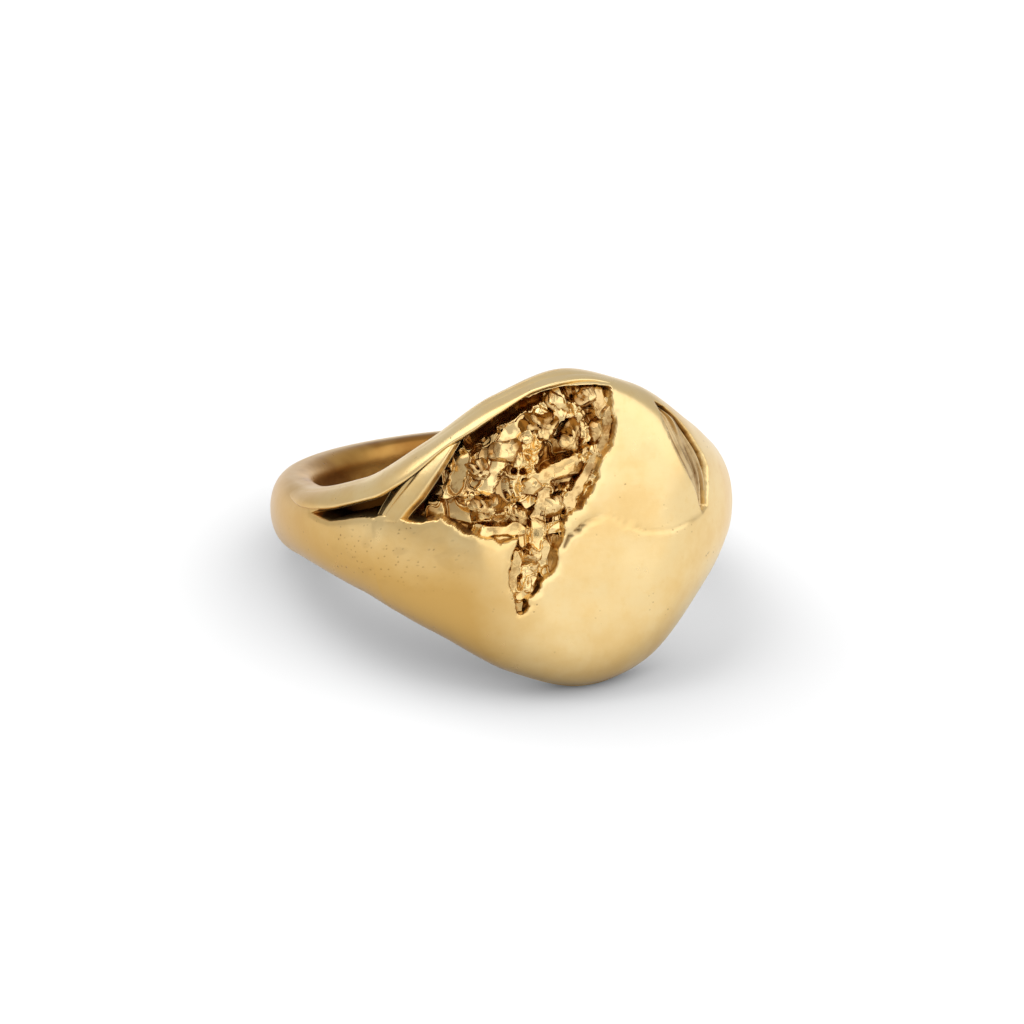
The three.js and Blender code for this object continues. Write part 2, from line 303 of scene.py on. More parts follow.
def gold(name, bright, deep, roughness, bump=1.0, stain=0.0):
    """Cast yellow gold: cloudy tone from polishing, fine pits and hairline scratches, and painted shade:
    a brown to near-black cast where the depth attribute says that the surface lies down in a crevice,
    a warmer darker cast on the lower left, and darker amber inside the bore."""
    material = bpy.data.materials.new(name)
    material.use_nodes = True
    tree = material.node_tree
    tree.nodes.clear()
    wire = Wire(tree)
    place = wire.node("ShaderNodeTexCoord", out=3)
    depth = wire.node("ShaderNodeAttribute", {"attribute_name": "depth"}, out=2)

    def noise(scale, detail, rough=0.5, squeeze=None):
        spot = place
        if squeeze:
            spot = wire.node("ShaderNodeMapping", None, {"Vector": place, "Scale": squeeze})
        return wire.node("ShaderNodeTexNoise", None,
                         {"Vector": spot, "Scale": scale, "Detail": detail, "Roughness": rough})

    cloud = noise(330.0, 4.0, 0.6)
    mottle = noise(1900.0, 3.0, 0.6)
    grain = noise(9000.0, 2.0)
    hairs = noise(2600.0, 3.0, 0.6, (0.25, 1.0, 2.2))
    pits = wire.node("ShaderNodeTexVoronoi", None, {"Vector": place, "Scale": 2600.0})
    pitted = noise(420.0, 2.0).band(0.56, 0.66)
    pit = (1 - pits.band(0.05, 0.2)) * pitted

    def tinted(*shares):
        return tuple(c * share for c, share in zip(bright, shares + (1,)))

    tone = mix_colour(wire, cloud.band(0.35, 0.7), bright, tinted(0.97, 0.9, 0.78))
    tone = mix_colour(wire, mottle.band(0.52, 0.75) * 0.35, tone, tinted(0.93, 0.84, 0.68))
    # Painted shade: the lower left of the ring and its lower side are turned warmer and darker, a painted
    # reflection of the dim floor, with some cloudy variation.
    low_shade_colour = tinted(0.70, 0.56, 0.34)
    across = wire.node("ShaderNodeSeparateXYZ", None, {"Vector": place}, 0)
    above = wire.node("ShaderNodeSeparateXYZ", None, {"Vector": place}, 2)
    painted_low_shade = (1 - across.band(-0.0075, -0.0015)) * (1 - above.band(0.0045, 0.0105)) * 1.15
    painted_low_shade = painted_low_shade + (1 - above.band(0.0, 0.005)) * 0.55 + (cloud - 0.5) * 0.5
    tone = mix_colour(wire, painted_low_shade.clamp(), tone, low_shade_colour)
    # Painted shade inside the bore: the inner skin is turned a darker amber, lighter only at its far left,
    # and mottled by noise as scuffs.
    bore = wire.node("ShaderNodeAttribute", {"attribute_name": "bore"}, out=2)
    scuff_and_bore_shade = (noise(330.0, 3.0, 0.5).band(0.30, 0.75) * 0.7 + across.band(-0.0095, -0.005) * 0.5).clamp()
    scuffed_bore_shade = mix_colour(wire, scuff_and_bore_shade, (0.66, 0.38, 0.09, 1), (0.24, 0.09, 0.008, 1))
    tone = mix_colour(wire, bore * 0.9, tone, scuffed_bore_shade)
    stains = noise(1300.0, 4.0, 0.65).band(0.47, 0.62) * stain
    # Painted shade: the depth attribute turns the colour towards deep in the breaks, walls, undersides and
    # crevices; the pits and stains added to it are real marks.
    tone = mix_colour(wire, (depth + pit * 0.5 + stains).clamp(), tone, deep)
    rough = (cloud * 0.10 + mottle * 0.08 + roughness - 0.09 + depth * 0.12).clamp()
    relief = mottle * 0.35 + grain * 0.12 + hairs * 0.30 - pit * 1.2
    normal = wire.node("ShaderNodeBump", None,
                       {"Strength": 0.35 * bump, "Distance": 0.00003, "Height": relief})
    shader = wire.node("ShaderNodeBsdfPrincipled", None,
                       {"Base Color": tone, "Metallic": 1.0, "Roughness": rough, "Normal": normal})
    wire.node("ShaderNodeOutputMaterial", None, {"Surface": shader})
    return material


def finish_piece(piece, material, slot, *nodes):
    """Gives a piece its material and the nodes that it stands for. The slot argument is not used."""
    piece.data.materials.append(material)
    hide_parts(*nodes)
    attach(piece, "root")
    return piece


# The second colour of each gold, deep, is the dark brown of its painted shade.
POLISHED = gold("polished_gold", (0.80, 0.605, 0.30, 1), (0.08, 0.028, 0.004, 1), 0.30)

shank_turns = (np.arange(144) + 0.5) * 2 * math.pi / 144
shank_angles = np.linspace(JOINT_ANGLE, 360 - JOINT_ANGLE, 260)
shank = hoop_mesh("ring_shank", shank_angles, shank_turns)
finish_piece(shank, POLISHED, "polished_gold", "shank")


# ---- Signet head -----------------------------------------------------------------------
# The front of the hoop, swelling into shoulders and a flat polished table. Across its left
# shoulder the casting is broken open by a ragged crevice that tails off down the table, and
# a second, narrow crevice runs down its right edge.

# The outlines here and below, and the station tables of the shank, came out of separate fitting
# and measuring programs and were rounded. They were not drawn from a few driving sizes.
STRAND_EDGE = (
    (-100, 1.55), (-88, 1.28), (-79.5, 1.1), (-73, 1.16), (-65, 1.42), (-57, 1.86), (-49, 2.35),
    (-41.3, 3.4), (-36.5, 4.2), (-31.7, 4.95), (-26.5, 5.5), (-21.5, 6.15), (-17.7, 6.58), (-12.3, 7.2),
    (-8, 7.58), (-4.5, 7.75), (-2, 7.9), (5.8, 7.78), (9.8, 7.5),
)
LEFT_BREAK = (
    (-73, 1.1), (-67.8, 0.95), (-64.5, 0.9), (-59.3, 1.1), (-56, 1.25), (-52.7, 1.4), (-48.2, 1.5),
    (-43, 1.34), (-37.2, 1.27), (-33.5, 1.42), (-30.5, 1.06), (-27.2, 0.62), (-25, 0.5),
    (-21, 0.11), (-16.3, 0.22), (-18, -0.6), (-19.2, -1.26), (-19.5, -2.2), (-18, -2.9),
    (-17.2, -3.65), (-15.7, -3.6), (-14.5, -3.4), (-15, -2.93), (-12.7, -2.63), (-12, -2.2),
    (-8.2, -1.7), (-7.5, -0.9), (-5.5, 0.1), (-5, 0.6), (-4.2, 1.1), (-0.2, 1.4), (2.3, 2.25),
    (4.3, 3.2), (5.3, 3.7), (7, 4.1), (9.3, 5.5), (8.8, 6.25), (9, 6.8),
)
RIGHT_BREAK = (
    (21.2, 6.25), (21.6, 5.5), (22.0, 4.3), (24.2, 3.0), (27.6, 1.6), (30.4, 0.15), (32.6, 0.35),
    (33.8, 1.6), (35.0, 2.3), (33.8, 3.1), (32.2, 3.7), (31.4, 4.2), (28.6, 5), (25.0, 5.8),
)
FOLD = (
    (-5.7, -0.5), (-4.5, -0.06), (-1.7, 0.3), (-1, 0.46), (1.2, 0.68), (4.8, 0.84), (6.2, 0.83),
    (9.8, 0.34), (14, -0.2), (17.8, -0.31), (21.2, -0.35), (24.8, -0.15), (31, 0.13),
)
BREAK_DEPTH = 2.0
LIP = 0.22
CRACK_WIDTH = 0.09
CROWN = 0.0045  # how much the table falls away, per square millimetre from its middle
UNDERCUT = 0.25  # how far the break reaches in under the rim strand
ROOF_SHARE = 0.93  # the break stops at this share of the half width, under the strand


def on_outline(outline):
    """An outline's corners as millimetres round the hoop and along the bore axis."""
    corners = np.array(outline, float)
    corners[:, 0] = np.radians(corners[:, 0]) * OUTLINE_RADIUS
    return corners


def signed_distance(s, z, outline):
    """Distance to a closed outline in millimetres, positive inside: the least distance to any
    side, signed by how many sides a level line to the left crosses."""
    corners = on_outline(outline)
    best, inside = np.full(s.shape, 1e9), np.zeros(s.shape, bool)
    for a, b in zip(corners, np.roll(corners, -1, 0)):
        e = b - a
        t = np.clip(((s - a[0]) * e[0] + (z - a[1]) * e[1]) / (e @ e), 0, 1)
        best = np.minimum(best, np.hypot(s - a[0] - t * e[0], z - a[1] - t * e[1]))
        cross = (a[1] > z) != (b[1] > z)
        height = e[1] if abs(e[1]) > 1e-9 else 1e-9
        inside ^= cross & (s < e[0] * (z - a[1]) / height + a[0])
    return np.where(inside, best, -best)


def line_distance(s, z, line):
    """Distance in millimetres to the nearest stretch of an open line of corners."""
    corners, best = on_outline(line), np.full(s.shape, 1e9)
    for a, b in zip(corners[:-1], corners[1:]):
        e = b - a
        t = np.clip(((s - a[0]) * e[0] + (z - a[1]) * e[1]) / (e @ e), 0, 1)
        best = np.minimum(best, np.hypot(s - a[0] - t * e[0], z - a[1] - t * e[1]))
    return best


def line_side(s, z, line):
    """Height above an open line that runs along the hoop, and how far past its ends."""
    corners = on_outline(line)
    over = z - np.interp(s, corners[:, 0], corners[:, 1])
    past = np.maximum(corners[0, 0] - s, s - corners[-1, 0])
    return over, past


def crown(degrees, height):
    """How far the table falls away from its flat, all but flat near its middle."""
    s = np.radians(degrees) * OUTLINE_RADIUS
    return np.clip(1 - np.abs(degrees) / 50, 0, 1) ** 0.5 * CROWN * (height**2 + 0.5 * s**2)


def head_recess(degrees, height, outside):
    """How far the head's skin lies under the plain skin: the two ragged breaks, the step of
    the fold across the table, and the soft hammered unevenness of the whole surface."""
    s = np.radians(degrees) * OUTLINE_RADIUS
    calm = smooth(degrees, -62, -44) * (1 - smooth(height, 6.8, 7.6)) * (1 - 0.7 * smooth(degrees, 17, 21))
    ragged_s = s + calm * (0.10 * swell(s, height, 0.55, 3) + 0.05 * swell(s, height, 0.2, 4))
    ragged_z = height + calm * (0.10 * swell(s, height, 0.5, 5) + 0.05 * swell(s, height, 0.18, 6))
    roof = tuple((a, min(h + UNDERCUT, ROOF_SHARE * float(at_station(HALF_WIDTH, a))))
                 for a, h in STRAND_EDGE[:3:-1])
    outline = LEFT_BREAK + roof
    left = signed_distance(ragged_s, ragged_z, outline)
    right = signed_distance(ragged_s, ragged_z, RIGHT_BREAK)
    depth = (BREAK_DEPTH + 0.5 * (1 - smooth(degrees, -54, -46))) * smooth(left, -0.02, LIP)
    depth = np.maximum(depth, 1.1 * smooth(right, -0.02, LIP * 1.5))
    depth += 0.05 * np.exp(-((np.maximum(-left, 0)) / 0.18) ** 2) * (left <= 0)
    over, past = line_side(s, height + 0.03 * swell(s, height, 0.9, 8), FOLD)
    sharp = 1 - smooth(s, -0.2, 1.2)
    live = 1 - smooth(past, -0.6, 0.3)
    fade = np.exp(-np.maximum(over, 0) / 1.6)
    step = smooth(over, -0.05 - 0.25 * (1 - sharp), 0.05 + 0.25 * (1 - sharp))
    depth += live * (0.035 + 0.05 * sharp) * step * fade
    crack = line_distance(s, height, FOLD)
    depth += live * (0.015 + sharp * 0.14) * np.exp(-((crack / CRACK_WIDTH) ** 2))
    depth += crown(degrees, height)
    depth += 0.018 * swell(s, height, 3.1, 11) + 0.008 * swell(s, height, 1.1, 12)
    return np.where(outside, depth * np.clip(8 * (1 - np.abs(degrees) / JOINT_ANGLE), 0, 1), 0)


def spread(*runs):
    """Grid lines from runs of (start, end, steps), without repeating the shared ends."""
    parts = [np.linspace(a, b, n, endpoint=False) for a, b, n in runs]
    return np.concatenate(parts + [[runs[-1][1]]])


head_angles = spread((-JOINT_ANGLE, -74, 6), (-74, 11, 250), (11, 22, 14), (22, 37, 44),
                     (37, JOINT_ANGLE, 22))
head_turns = np.radians(spread((-90, -30, 40), (-30, 90, 190), (90, 270, 60))[:-1] + 0.3)


def head_shade_and_marks(moved, degrees, height):
    """How dark the head's skin is painted: painted shade on the broken walls, deepest in the slit,
    and in the crack of the fold, and the real smears and clusters of pits on the left shoulder."""
    s = np.radians(degrees) * OUTLINE_RADIUS
    slit = 1 - smooth(degrees, -50, -46)
    walls = smooth(moved, 0.30, 1.7) * (0.62 + 0.38 * slit)
    walls = np.where(degrees > 18, 0.85 * smooth(moved, 0.12, 0.8), walls)
    crack = np.exp(-((line_distance(s, height, FOLD) / CRACK_WIDTH) ** 2))
    crack = crack * (0.16 + 0.75 * (1 - smooth(s, -0.5, 0.6)))
    patch = np.exp(-(((degrees + 44) / 16) ** 2) - ((height + 0.2) / 1.6) ** 2)
    near, _, own, _, _ = cells(s, height, 0.28, 17)
    speck = (own > 0.72) * (1 - smooth(near, 0.01, 0.06)) * smooth(patch, 0.15, 0.6)
    smear = smooth(swell(0.5 * s + 0.4 * height, height - 0.35 * s, 0.42, 15), 0.25, 0.7) * patch
    marks = np.maximum(0.55 * speck, 0.12 * smear) * (moved < 0.3)
    return np.clip(np.maximum(walls, crack) + marks, 0, 1)


head = hoop_mesh("ring_head", head_angles, head_turns, head_recess, head_shade_and_marks)
finish_piece(head, POLISHED, "polished_gold", "signet_head")


# ---- Upper rim strand ------------------------------------------------------------------
# The lip of metal left whole over the break: a rounded strand that rises out of the left
# side of the shank, runs over the crevice and melts into the table at the top.


def plate(name, degrees, height, sink, floor, shade=None):
    """A closed plate that follows the skin: its top lies sink millimetres under the skin at
    each (angle, height) of the grid, both long edges drop to the floor radius, and a strip
    joins them underneath."""
    rows, columns = degrees.shape
    radius = outer_radius(degrees, height) - sink
    top = round_points(degrees, radius, height).reshape(-1, 3)
    rims = [0, columns - 1]
    deep = np.minimum(floor, radius[:, rims] - 0.05)
    under = round_points(degrees[:, rims], deep, height[:, rims]).reshape(-1, 3)
    number = np.arange(rows * columns).reshape(rows, columns)
    below = rows * columns + np.arange(2 * rows).reshape(rows, 2)
    near, far = below[:, 0], below[:, 1]
    faces = np.concatenate([
        grid_faces(rows, columns, False),
        np.stack([number[:-1, 0], near[:-1], near[1:], number[1:, 0]], -1)[:, ::-1],
        np.stack([number[:-1, -1], far[:-1], far[1:], number[1:, -1]], -1),
        np.stack([near[:-1], far[:-1], far[1:], near[1:]], -1)]).tolist()
    faces.append(number[0].tolist() + [int(far[0]), int(near[0])])
    faces.append(number[-1, ::-1].tolist() + [int(near[-1]), int(far[-1])])
    corner = top[number[0, 0]]
    lift = np.cross(top[number[1, 0]] - corner, top[number[0, 1]] - corner)
    if lift @ (corner * (1, 1, 0)) < 0:
        faces = [face[::-1] for face in faces]
    # Painted shade: the top takes the given shade and the under edges are fully dark, so the plate's side
    # walls are painted darker towards the floor.
    tone = np.zeros(sink.size) if shade is None else (shade + 0 * degrees).ravel()
    return make_piece(name, to_row(np.concatenate([top, under])), faces, None,
                      np.concatenate([tone, np.ones(2 * rows)]))


def strand_line(degrees):
    """Height of the strand's lower edge at an angle, rounded between its stations."""
    angle, height = np.array(STRAND_EDGE).T
    soft = [np.interp(degrees + shift, angle, height) for shift in (-2, -1, 0, 1, 2)]
    return np.minimum(np.mean(soft, 0), 0.94 * at_station(HALF_WIDTH, degrees))


STRAND_FLOOR = 11.0
strand_angles = np.linspace(-97, 13.5, 420)[:, None]
across = np.concatenate([np.linspace(0, 0.25, 26, endpoint=False), np.linspace(0.25, 1, 40)])[None, :]
low = strand_line(strand_angles)
high = at_station(HALF_WIDTH, strand_angles) * 0.985
strand_height = low + (high - low) * across
from_edge = strand_height - low
round_s = np.radians(strand_angles) * OUTLINE_RADIUS
ends = smooth(strand_angles, -97, -74) * (1 - smooth(strand_angles, 4, 13.5))
strand_sink = 0.03 - ends * 0.20 * np.sin(math.pi * np.clip(across, 0, 1)) ** 0.7
held = np.exp(-(((strand_angles + 40) / 6) ** 2))
strand_sink = strand_sink + ends * (1 - 0.8 * held) * 0.22 * np.clip(1 - from_edge / 0.22, 0, 1) ** 2
follows = np.maximum(smooth(strand_angles, -8, 6), smooth(across, 0.5, 0.95))
strand_sink = strand_sink + follows * crown(strand_angles, strand_height)
strand_sink = strand_sink + 0.012 * swell(round_s, strand_height, 1.4, 21)
strand_sink = strand_sink + 0.14 * smooth(across, 0.86, 1.0)
# Painted shade along the strand's lower edge, where it overhangs the break.
strand_painted_shade = 0.8 * (1 - smooth(from_edge, 0.0, 0.05))
rim = plate("rim_strand", strand_angles + 0 * across, strand_height, strand_sink, STRAND_FLOOR, strand_painted_shade)
finish_piece(rim, POLISHED, "polished_gold", "upper_rim")


# ---- Web -------------------------------------------------------------------------------
# A saddle of metal that the caster left to tie the rim strand to the lower shoulder, with the
# slit on its left and the ore on its right.

WEB_FLOOR = 10.6
WEB_LEFT = ((-51.0, 1.25), (-49.4, 1.95), (-47.2, 2.65), (-44.4, 3.3), (-41.5, 3.85), (-37.5, 4.6))
WEB_RIGHT = ((-42.4, 1.2), (-40.2, 1.82), (-37.8, 2.32), (-35.6, 3.0), (-33.0, 3.8), (-28.5, 5.3))


def between(first, second, along, over):
    """Points from one open line to another: both read at the share along, mixed by over."""
    def read(line):
        corners = np.array(line, float)
        run = np.linspace(0, 1, len(corners))
        soft = [np.stack([np.interp(along + k, run, corners[:, c]) for c in (0, 1)])
                for k in (-0.05, 0, 0.05)]
        return np.mean(soft, 0)
    a, b = read(first), read(second)
    return a[0] + (b[0] - a[0]) * over, a[1] + (b[1] - a[1]) * over


web_along, web_over = np.linspace(0, 1, 90)[:, None], np.linspace(0, 1, 60)[None, :]
web_deg, web_height = between(WEB_LEFT, WEB_RIGHT, web_along + 0 * web_over, web_over)
web_s = np.radians(web_deg) * OUTLINE_RADIUS
saddle = np.sin(math.pi * web_along)
inner_side = 1 - smooth(web_over, 0.0, 0.34)
web_sink = 0.05 + 0.16 * saddle + 0.60 * inner_side * (1 - smooth(web_along, 0.25, 0.7))
web_sink = web_sink + 0.10 * np.exp(-(((web_over - 0.34) / 0.05) ** 2)) * (1 - smooth(web_along, 0.5, 0.8))
web_sink = web_sink + 0.55 * smooth(web_over, 0.72, 1.05) ** 2
web_sink = web_sink + 0.03 * swell(web_s, web_height, 0.9, 31)
# Painted shade on the lower part of the web's slit side and along its far edge by the gap.
web_painted_shade = 0.30 * inner_side * (1 - smooth(web_along, 0.2, 0.6)) + 0.25 * smooth(web_over, 0.8, 1.0)
web = plate("web_bridge", web_deg, web_height, web_sink, WEB_FLOOR, web_painted_shade)
finish_piece(web, POLISHED, "polished_gold", "web")


# ---- Ore bed ---------------------------------------------------------------------------
# The floor of the break: gold frozen over ore, with flat crystal faces, melted lumps, fine
# granules and deep holes between them.

BED_ANGLES = (-46.0, 10.2)
BED_LOWER = LEFT_BREAK[7:15] + ((-5.5, 0.3),) + LEFT_BREAK[28:35]
BED_FLOOR = 10.4  # radius of the underside of the three beds

# Lumpy ridges in the ore: each a line of (degrees, height), its half width and its strength.
RIDGES = (
    (((-8.5, 6.3), (-11, 5.3), (-13.5, 4.0), (-15, 2.7)), 0.85, 0.85),
    (((-14.5, 6.4), (-12, 6.7)), 0.4, 0.7),
    (((-6.5, 3.3), (-2, 3.6), (3, 4.1)), 0.5, 0.85),
    (((-3.5, 7.0), (0.5, 6.0), (2, 4.9)), 0.6, 0.75),
    (((6, 6.3), (6.5, 5.2)), 0.4, 0.7),
    (((-26.5, 2.2), (-23, 1.9), (-19.5, 1.7)), 0.55, 0.9),
    (((-27.5, 4.3), (-25.5, 3.3)), 0.45, 0.6),
    (((-9, 2.6), (-10.5, 1.3), (-12, -0.3)), 0.6, 0.8),
    (((-2.5, 2.3), (-5.5, 1.3)), 0.4, 0.8),
    (((-12, -0.2), (-13, -1.4), (-16, -2.6)), 0.55, 0.7),
)


def ridge_map(s, z):
    """0 away from the ridges of melted ore, rising to each one's strength along its line."""
    level = np.zeros(s.shape)
    for line, width, strength in RIDGES:
        best = line_distance(s, z, line)
        level = np.maximum(level, strength * (1 - smooth(best, width * 0.35, width * 1.15)))
    return level


# Smooth faces in the ore: from and to (degrees, height), half width, depth at both ends, and painted shade (0
# for a lit face, up to brown for a shaded one).
FACES = (
    ((-14.7, 6.3), (-23.3, 2.9), 0.46, 0.70, 0.95, 0.00),
    ((-28.8, 4.4), (-30.4, 2.9), 0.40, 0.95, 1.05, 0.30),
    ((-22.6, 4.6), (-25.9, 3.2), 0.30, 1.05, 1.10, 0.30),
    ((-24.0, 0.62), (-16.0, 0.70), 0.36, 0.45, 0.40, 0.00),
    ((-11.8, 3.1), (-1.5, 3.75), 0.36, 0.50, 0.35, 0.20),
    ((4.0, 3.75), (-3.3, 1.65), 0.36, 0.45, 0.42, 0.30),
    ((2.0, 7.3), (4.7, 7.0), 0.36, 0.75, 0.85, 0.35),
    ((6.9, 7.1), (7.2, 6.0), 0.38, 0.70, 0.70, 0.32),
    ((-4.8, 7.3), (-4.5, 6.0), 0.30, 0.50, 0.60, 0.00),
    ((8.6, 6.0), (5.8, 4.1), 0.30, 0.40, 0.50, 0.50),
    ((-9.2, 2.4), (-11.5, 1.1), 0.40, 0.60, 0.60, 0.20),
    ((-11.8, 0.6), (-11.8, -0.2), 0.40, 0.40, 0.40, 0.00),
    ((-10.2, -0.4), (-10.8, -1.2), 0.30, 0.35, 0.40, 0.05),
    ((-17.0, -0.5), (-18.4, -2.4), 0.22, 0.30, 0.30, 0.10),
    ((-14.0, -2.0), (-16.4, -2.9), 0.30, 0.35, 0.45, 0.05),
    ((-7.2, -0.2), (-8.8, -1.6), 0.24, 0.60, 0.65, 0.65),
    ((-27.0, 5.1), (-19.2, 6.15), 0.34, 1.30, 1.30, 0.75),
    ((-18.5, 6.3), (-8.5, 7.2), 0.30, 1.25, 1.10, 0.70),
)


def lay_faces(s, z, sink, tone):
    """Lays the smooth faces into the ore, each with a thin raised lip and its painted shade."""
    warp_s = s + 0.14 * swell(s, z, 0.5, 300) + 0.05 * swell(s, z, 0.2, 301)
    warp_z = z + 0.14 * swell(s, z, 0.45, 302) + 0.05 * swell(s, z, 0.2, 303)
    for start, end, width, first, last, face_shade in FACES:
        a, b = on_outline((start, end))
        e = b - a
        t = np.clip(((warp_s - a[0]) * e[0] + (warp_z - a[1]) * e[1]) / (e @ e), 0, 1)
        far = np.hypot(warp_s - a[0] - t * e[0], warp_z - a[1] - t * e[1])
        mask = 1 - smooth(far, width * 0.7, width)
        level = first + (last - first) * t + 0.07 * swell(s, z, 0.6, 304)
        sink = sink * (1 - mask) + level * mask - 0.14 * np.exp(-(((far - width) / 0.05) ** 2))
        tone = tone * (1 - mask) + face_shade * mask
    return sink, tone


def ore_relief(s, z, seed):
    """Height of the ore above its bed: broad smooth faces that lean this way and that, thin
    folds that cross them, and on the ridges packed lumps and granules with pits between."""
    warp_s = s + 0.20 * swell(s, z, 0.9, seed) + 0.05 * swell(s, z, 0.3, seed + 1)
    warp_z = z + 0.20 * swell(s, z, 0.8, seed + 2) + 0.05 * swell(s, z, 0.28, seed + 3)
    ridge = ridge_map(warp_s, warp_z)
    near, after, own, dx, dz = cells(warp_s, warp_z, 1.15, seed + 4)
    lean = own * 40.0
    seam = 1 - smooth(after - near, 0.0, 0.25)
    relief = (0.34 * (own - 0.5) + 0.34 * (np.cos(lean) * dx + np.sin(lean) * dz)) * (1 - seam) - 0.14 * seam
    fold = np.abs(swell(warp_s, warp_z, 0.85, seed + 7))
    relief = relief + 0.16 * (1 - smooth(fold, 0.0, 0.16))
    near, _, own, _, _ = cells(warp_s, warp_z, 0.44, seed + 10)
    lump = (0.35 + 0.65 * own) * np.sqrt(np.clip(1 - (near / 0.30) ** 2, 0, 1))
    near, _, own, _, _ = cells(s, z, 0.17, seed + 21)
    granule = own * np.sqrt(np.clip(1 - (near / 0.11) ** 2, 0, 1))
    busy = smooth(swell(s, z, 0.75, seed + 20), -0.2, 0.3)
    relief = relief * (1 - 0.4 * ridge) + ridge * (0.25 + 0.38 * lump + 0.10 * busy * granule)
    near, _, own, _, _ = cells(s, z, 0.8, seed + 30)
    relief = relief - 0.6 * (own > 0.55) * np.exp(-((near / 0.13) ** 2)) * smooth(ridge, 0.1, 0.5)
    return relief + 0.02 * swell(s, z, 0.35, seed + 40)


bed_angle = np.linspace(*BED_ANGLES, 330)
lower_angle, lower_height = np.array(BED_LOWER).T
bed_low = np.interp(bed_angle, lower_angle, lower_height) - 0.12
bed_high = strand_line(bed_angle) + 0.2
bed_share = np.linspace(0, 1, 200)[None, :]
bed_deg = bed_angle[:, None] + 0 * bed_share
bed_height = bed_low[:, None] + (bed_high - bed_low)[:, None] * bed_share
bed_s = np.radians(bed_deg) * OUTLINE_RADIUS
under_rim = bed_high[:, None] - bed_height
from_wall = bed_height - bed_low[:, None]
bed_sink = 0.95 + 0.35 * np.exp(-((under_rim / 0.5) ** 2)) + 0.55 * (1 - smooth(bed_deg, -42, -32))
bed_sink = bed_sink - 0.42 * smooth(bed_deg, -24, -12) * (1 - smooth(from_wall, 0.2, 0.9))
bed_sink = np.clip(bed_sink - ore_relief(bed_s, bed_height, 50), 0.08, 1.95)
# Painted shade: the ore bed turns darker where it lies deeper.
bed_shade = 0.85 * smooth(bed_sink, 0.45, 1.4)
bed_sink, bed_shade = lay_faces(bed_s, bed_height, bed_sink, bed_shade)
bed_sink = np.clip(bed_sink, 0.08, 1.95)
ORE = gold("ore_gold", (0.86, 0.64, 0.31, 1), (0.22, 0.085, 0.012, 1), 0.17, 0.7, 0.42)
ore_bed = plate("ore_bed_floor", bed_deg, bed_height, bed_sink, BED_FLOOR, bed_shade)
finish_piece(ore_bed, ORE, "bed_gold", "ore_bed")


# ---- Vein bed --------------------------------------------------------------------------
# The tail of the break, a narrow channel of the same ore that runs down the table to a point.

VEIN_LEFT = (
    (-16, 0.6), (-16.6, 0.2), (-18, -0.6), (-19.2, -1.26), (-19.6, -2.2), (-18.2, -2.9), (-17.3, -3.7),
)
VEIN_RIGHT = (
    (-4.6, 0.9), (-5.4, 0.1), (-7.4, -0.8), (-8.0, -1.7), (-12, -2.3), (-14.3, -3.1), (-15.4, -3.7),
)
vein_along, vein_over = np.linspace(0, 1, 150)[:, None], np.linspace(0, 1, 90)[None, :]
vein_deg, vein_height = between(VEIN_LEFT, VEIN_RIGHT, vein_along + 0 * vein_over, vein_over * 1.06 - 0.03)
vein_s = np.radians(vein_deg) * OUTLINE_RADIUS
vein_sink = np.clip(0.72 - ore_relief(vein_s, vein_height, 90), 0.06, 1.6)
# Painted shade: the vein turns darker where it lies deeper.
vein_shade = 0.8 * smooth(vein_sink, 0.35, 1.2)
vein_sink, vein_shade = lay_faces(vein_s, vein_height, vein_sink, vein_shade)
vein_sink = np.clip(vein_sink, 0.06, 1.6)
vein = plate("vein_floor", vein_deg, vein_height, vein_sink, BED_FLOOR, vein_shade)
finish_piece(vein, ORE, "bed_gold", "vein_bed")


# ---- Right crevice bed -----------------------------------------------------------------
# The narrow break at the right edge of the table: torn metal with a fibrous grain that runs
# the crevice's length.

CREVICE_LEFT = ((21.0, 6.4), (21.4, 5.5), (21.8, 4.3), (24.0, 3.0), (27.4, 1.6), (30.2, 0.05))
CREVICE_RIGHT = ((22.4, 6.4), (28.8, 5.05), (32.0, 4.0), (34.0, 3.1), (35.2, 2.0), (32.8, 0.05))
torn_along, torn_over = np.linspace(0, 1, 220)[:, None], np.linspace(0, 1, 90)[None, :]
torn_deg, torn_height = between(CREVICE_LEFT, CREVICE_RIGHT, torn_along + 0 * torn_over, torn_over)
fibre = swell(torn_along * 0.7 + 0.5 * torn_over, torn_over * 4.0, 0.40, 121)
fibre = fibre + 0.6 * swell(torn_along * 1.4 + 0.3 * torn_over, torn_over * 9.0, 0.6, 122)
torn_sink = 0.40 + 0.06 * torn_over + 0.15 * fibre + 0.10 * swell(torn_along * 2, torn_over * 2, 0.5, 123)
torn_edge = smooth(torn_over, 0.72, 1.0) * (1 - smooth(torn_along, 0.55, 0.9))
torn_sink = np.clip(torn_sink + 0.6 * (1 - smooth(torn_along, 0.0, 0.22)) + 0.45 * torn_edge, 0.1, 1.4)
# Painted shade: the crevice floor turns darker where it lies deeper, following its fibrous grain.
torn_painted_shade = 0.15 + 0.8 * smooth(torn_sink + 0.15 * fibre, 0.30, 0.95)
crevice = plate("crevice_floor", torn_deg, torn_height, torn_sink, BED_FLOOR, torn_painted_shade)
TORN = gold("torn_gold", (0.66, 0.51, 0.29, 1), (0.16, 0.07, 0.015, 1), 0.28, 1.6, 0.2)
finish_piece(crevice, TORN, "bed_gold", "crevice_bed")


# ---- Nuggets ---------------------------------------------------------------------------
# Drops and flakes of melted metal that froze on the beds, each a pebble with facets and dents,
# half sunk in the ore.

